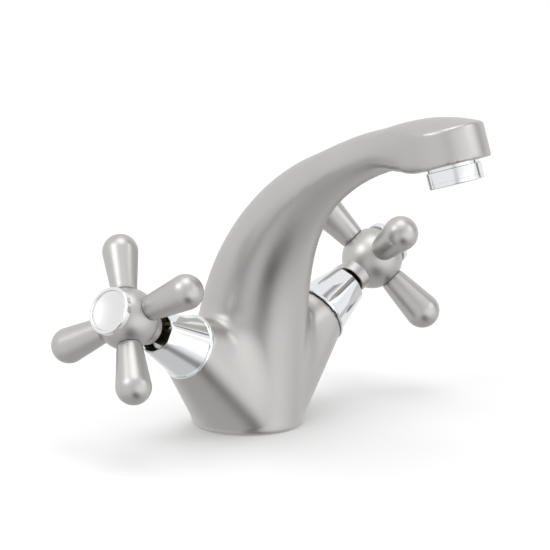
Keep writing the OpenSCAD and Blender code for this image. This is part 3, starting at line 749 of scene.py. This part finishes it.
class MIXER_OT_finishes(bpy.types.Operator):
    """Makes the finishes, and gives the inner pieces theirs"""
    bl_idname = "mixer.finishes"
    bl_label = "Finishes"

    def execute(self, context):
        f = context.scene.mixer_finish
        make_effects()
        material("Satin nickel", f.nickel, f.nickel_rough, 1.0, grain=3500.0, depth=0.10, drift=0.02,
                 blur=0.03)
        material("Pale nickel", f.pale, 0.34, 1.0, grain=3500.0, depth=0.08, drift=0.02, blur=0.03)
        material("Polished chrome", f.chrome, 0.055, 1.0, grain=900.0, depth=0.01, drift=0.01, blur=0.02)
        # Painted shade: the brass finish uses the darkened tint, standing for the shade inside the covers'
        # mouths rather than the colour of real brass.
        material("Brass", f.brass, 0.42, 1.0, grain=1800.0, depth=0.15, drift=0.12)
        material("Steel", f.steel, 0.25, 1.0, grain=1800.0, depth=0.10, drift=0.05)
        material("Rubber", f.rubber, 0.62, grain=1500.0, depth=0.25, drift=0.15)
        material("Ceramic", f.ceramic, 0.22, grain=2500.0, depth=0.03, drift=0.03)
        material("White plastic", f.plastic, 0.42, grain=1500.0, depth=0.12, drift=0.03)
        for name, node in frame["nodes"].items():
            kind = name.replace("left_", "").replace("right_", "")
            if kind in CAD_FINISH:
                node.data.materials.clear()
                node.data.materials.append(bpy.data.materials[CAD_FINISH[kind]])
        return {"FINISHED"}


# ---- the stage ----

CAMERA_TURN, CAMERA_RISE = -45.66, 13.95
CAMERA_AIM, CAMERA_BACK = (19.6 * MM, 2.3 * MM, 62.8 * MM), 2.2
# Name, place, aim, width and power of each lamp.
LAMPS = (
    ("key", (-1.3, 0.35, 1.3), (0, 0, 0.08), 0.9, 5),
    ("fill", (0.9, -1.4, 1.1), (0, 0, 0.08), 0.9, 2.5),
    ("top", (0, -0.1, 1.9), (0, 0, 0), 1.2, 6),
)
# Turn from the camera's side, rise, half-width, half-height and blurred edge in degrees, and brightness.
CARDS = (
    (50, 0, 38, 24, 14, 1.40),
    (14, -33, 18, 14, 7, 0.03),
    (33, -50, 17, 13, 9, 0.40),
    (1, 6, 8, 22, 8, 0.72),
    (0, -90, 52, 52, 16, 0.66),
    (112, 30, 7, 40, 3, 0.25),
)


class MIXER_OT_stage(bpy.types.Operator):
    """Builds the pale floor, the soft lights, the surround and the camera"""
    bl_idname = "mixer.stage"
    bl_label = "Stage"

    def execute(self, context):
        scene, s = context.scene, context.scene.mixer_stage
        bm = bmesh.new()
        bmesh.ops.create_grid(bm, x_segments=1, y_segments=1, size=6)
        floor = loose(bm, "floor")
        paint = bpy.data.materials.new("Floor")
        paint.use_nodes = True
        shader = paint.node_tree.nodes["Principled BSDF"]
        shader.inputs["Base Color"].default_value = (*s.floor, 1)
        shader.inputs["Roughness"].default_value = 0.9
        floor.data.materials.append(paint)
        floor.visible_glossy = False
        self.surround(scene, s)
        for name, spot, aim, size, power in LAMPS:
            lamp = bpy.data.lights.new(name, "AREA")
            lamp.size, lamp.energy = size, power
            holder = bpy.data.objects.new(name, lamp)
            holder.location = spot
            holder.rotation_euler = (Vector(aim) - Vector(spot)).to_track_quat("-Z", "Y").to_euler()
            scene.collection.objects.link(holder)
        lens = bpy.data.cameras.new("camera")
        lens.lens, lens.sensor_width, lens.clip_start, lens.clip_end = s.focal, 36, 0.1, 20
        camera = bpy.data.objects.new("camera", lens)
        turn, rise = math.radians(CAMERA_TURN), math.radians(CAMERA_RISE)
        back = Vector((math.sin(turn) * math.cos(rise), -math.cos(turn) * math.cos(rise), math.sin(rise)))
        camera.location = Vector(CAMERA_AIM) + back * CAMERA_BACK
        camera.rotation_euler = back.to_track_quat("Z", "Y").to_euler()
        scene.collection.objects.link(camera)
        scene.camera = camera
        scene.view_settings.view_transform = "Standard"
        return {"FINISHED"}

    def surround(self, scene, s):
        """A pale surround with brighter and darker ovals in it, which only reflections see."""
        world = bpy.data.worlds.new("Surround")
        world.use_nodes = True
        scene.world = world
        tree = world.node_tree
        place = tree.nodes.new("ShaderNodeTexCoord").outputs["Object"]
        total = s.sky
        for card in CARDS:
            total = maths(tree, "MULTIPLY", total, oval_card(tree, place, *card))
        seen = tree.nodes.new("ShaderNodeLightPath").outputs["Is Camera Ray"]
        pick = tree.nodes.new("ShaderNodeMix")
        pick.data_type = "FLOAT"
        tree.links.new(seen, pick.inputs["Factor"])
        tree.links.new(total, pick.inputs["A"])
        pick.inputs["B"].default_value = 1.0
        tree.links.new(pick.outputs["Result"], tree.nodes["Background"].inputs["Color"])


def maths(tree, kind, a, b):
    """A maths node on two sockets or numbers."""
    node = tree.nodes.new("ShaderNodeMath")
    node.operation = kind
    feed(tree, a, node.inputs[0])
    feed(tree, b, node.inputs[1])
    return node.outputs["Value"]


def towards(tree, place, axis):
    """How far a position lies along an axis."""
    node = tree.nodes.new("ShaderNodeVectorMath")
    node.operation = "DOT_PRODUCT"
    node.inputs[1].default_value = axis
    tree.links.new(place, node.inputs[0])
    return node.outputs["Value"]


# Added to an oval's reach on the far side of the surround, so that no mirror image of it shows there.
BEHIND = 9.0


def oval_card(tree, place, turn, rise, wide, high, blur, value):
    """How much one oval card scales the surround's brightness, from 1 outside it to its value inside."""
    az, up = math.radians(CAMERA_TURN - 90 + turn), math.radians(rise)
    out = Vector((math.cos(az) * math.cos(up), math.sin(az) * math.cos(up), math.sin(up)))
    side = Vector((-math.sin(az), math.cos(az), 0))
    squares = []
    for axis, size in ((side, wide), (out.cross(side), high)):
        part = towards(tree, place, axis / math.sin(math.radians(size)))
        squares.append(maths(tree, "MULTIPLY", part, part))
    behind = maths(tree, "MULTIPLY", maths(tree, "LESS_THAN", towards(tree, place, out), 0.0), BEHIND)
    reach = maths(tree, "ADD", maths(tree, "SQRT", maths(tree, "ADD", *squares), 0.0), behind)
    ramp = tree.nodes.new("ShaderNodeMapRange")
    ramp.interpolation_type = "SMOOTHSTEP"
    ramp.inputs["From Min"].default_value = 1 - blur / wide
    ramp.inputs["From Max"].default_value = 1 + blur / wide
    ramp.inputs["To Min"].default_value, ramp.inputs["To Max"].default_value = value, 1
    tree.links.new(reach, ramp.inputs["Value"])
    return ramp.outputs["Result"]


class MIXER_PT_panel(bpy.types.Panel):
    """Lists the mixer's pieces in the sidebar"""
    bl_label = "Basin mixer"
    bl_idname = "MIXER_PT_panel"
    bl_space_type = "VIEW_3D"
    bl_region_type = "UI"
    bl_category = "Mixer"

    def draw(self, context):
        for step in STEPS:
            self.layout.operator(step.bl_idname)


SETTINGS = {"mixer_body": BodySizes, "mixer_handle": HandleSizes, "mixer_cone": ConeSizes,
            "mixer_aerator": AeratorSizes, "mixer_finish": Finishes, "mixer_stage": StageSetting}
STEPS = (MIXER_OT_finishes, MIXER_OT_stage, MIXER_OT_casting, MIXER_OT_covers, MIXER_OT_hubs, MIXER_OT_caps,
         MIXER_OT_aerator)


def register():
    for group in SETTINGS.values():
        bpy.utils.register_class(group)
    for name, group in SETTINGS.items():
        setattr(bpy.types.Scene, name, PointerProperty(type=group))
    for step in (*STEPS, MIXER_PT_panel):
        bpy.utils.register_class(step)


def unregister():
    for step in reversed((*STEPS, MIXER_PT_panel)):
        bpy.utils.unregister_class(step)
    for name, group in reversed(SETTINGS.items()):
        delattr(bpy.types.Scene, name)
        bpy.utils.unregister_class(group)


def main():
    register()
    for step in STEPS:
        group, name = step.bl_idname.split(".")
        getattr(getattr(bpy.ops, group), name)()


if __name__ == "__main__":
    main()
